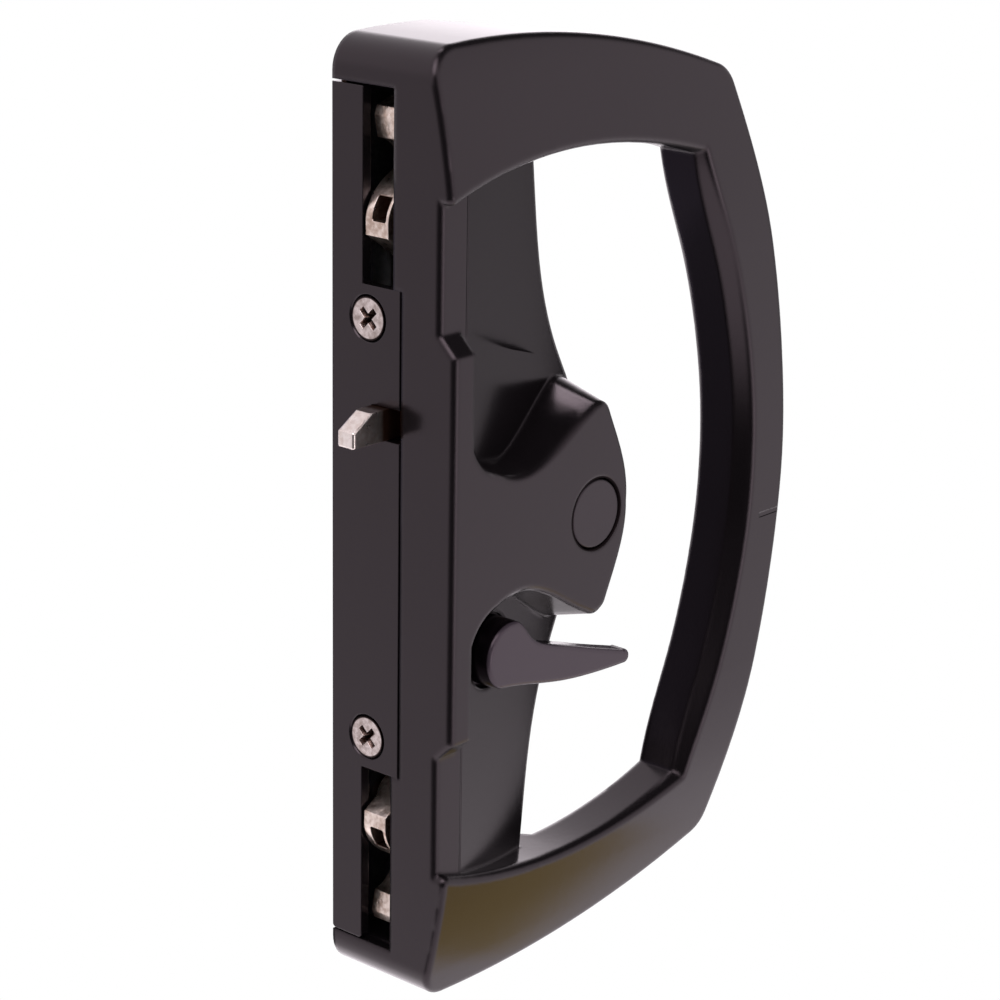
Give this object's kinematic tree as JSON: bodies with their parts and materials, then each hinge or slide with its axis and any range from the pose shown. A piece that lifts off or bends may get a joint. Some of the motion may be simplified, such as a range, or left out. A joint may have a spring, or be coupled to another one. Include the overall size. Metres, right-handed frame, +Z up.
{
  "type": "sliding door lock",
  "caption": "Surface-mounted sliding door lock with a bow pull handle, a snib lever, hook beaks that swing out of the edge face and a sprung trigger",
  "frame": {"origin": "Centre of the back mounting face, on the line of the two fixing posts and halfway between them", "axes": "+Z up along the lock's length, -Y the front with the snib lever, +Y into the door stile, -X the edge face with the beaks and the trigger, +X towards the bow of the handle"},
  "size_m": [0.1238, 0.0342, 0.2056],
  "materials": {
    "black_coat": "satin",
    "nickel": "satin",
    "zinc_steel": "satin",
    "spring_steel": "gloss",
    "brass": "satin",
    "nylon": "matte"
  },
  "bodies": {
    "case": {"handle_housing": "black_coat", "back_cover": "zinc_steel", "cover_screws": "zinc_steel", "mounting_inserts": "brass", "faceplate": "black_coat", "faceplate_screws": "nickel", "cylinder_blank": "black_coat", "blank_clip": "spring_steel", "friction_washer": "nylon", "slide_guides": "zinc_steel", "beak_pivots": "zinc_steel", "upper_bridge": "zinc_steel", "lower_bridge": "zinc_steel", "bridge_spacers": "zinc_steel", "lock_chassis": "zinc_steel", "chassis_screws": "zinc_steel", "trigger_guide": "zinc_steel", "trigger_spring": "spring_steel"},
    "lever": {"snib_lever": "black_coat", "lever_spindle": "zinc_steel", "spindle_clip": "spring_steel", "drive_cam": "zinc_steel"},
    "slide_up": {"upper_slide": "zinc_steel"},
    "slide_down": {"lower_slide": "zinc_steel"},
    "beak_up": {"upper_beak": "nickel"},
    "beak_down": {"lower_beak": "nickel"},
    "trigger_body": {"trigger": "nickel"}
  },
  "joints": [
    {"name": "lever_turn", "type": "hinge", "parent": "case", "child": "lever", "pos_m": [-0.0025, -0.02, -0.027], "axis": [0, -1, 0], "range_deg": [0, 16]},
    {"name": "upper_slide_move", "type": "slide", "parent": "case", "child": "slide_up", "axis": [0, 0, 1], "range_m": [0, 0.00432]},
    {"name": "lower_slide_move", "type": "slide", "parent": "case", "child": "slide_down", "axis": [0, 0, -1], "range_m": [0, 0.00432]},
    {"name": "upper_beak_swing", "type": "hinge", "parent": "case", "child": "beak_up", "pos_m": [-0.0132, -0.012, 0.0625], "axis": [0, -1, 0], "range_deg": [0, 78.01]},
    {"name": "lower_beak_swing", "type": "hinge", "parent": "case", "child": "beak_down", "pos_m": [-0.0132, -0.012, -0.0625], "axis": [0, 1, 0], "range_deg": [0, 78.01]},
    {"name": "trigger_press", "type": "slide", "parent": "case", "child": "trigger_body", "axis": [1, 0, 0], "range_m": [0, 0.0095], "stiffness_N_per_m": 60, "springref_m": -0.02, "deforming": ["trigger_spring"]}
  ],
  "couplings": [
    {"joint": "upper_slide_move", "follows": "lever_turn", "m_per_rad": 0.01545},
    {"joint": "lower_slide_move", "follows": "lever_turn", "m_per_rad": 0.01545},
    {"joint": "upper_beak_swing", "follows": "lever_turn", "ratio": 4.875},
    {"joint": "lower_beak_swing", "follows": "lever_turn", "ratio": 4.875}
  ]
}
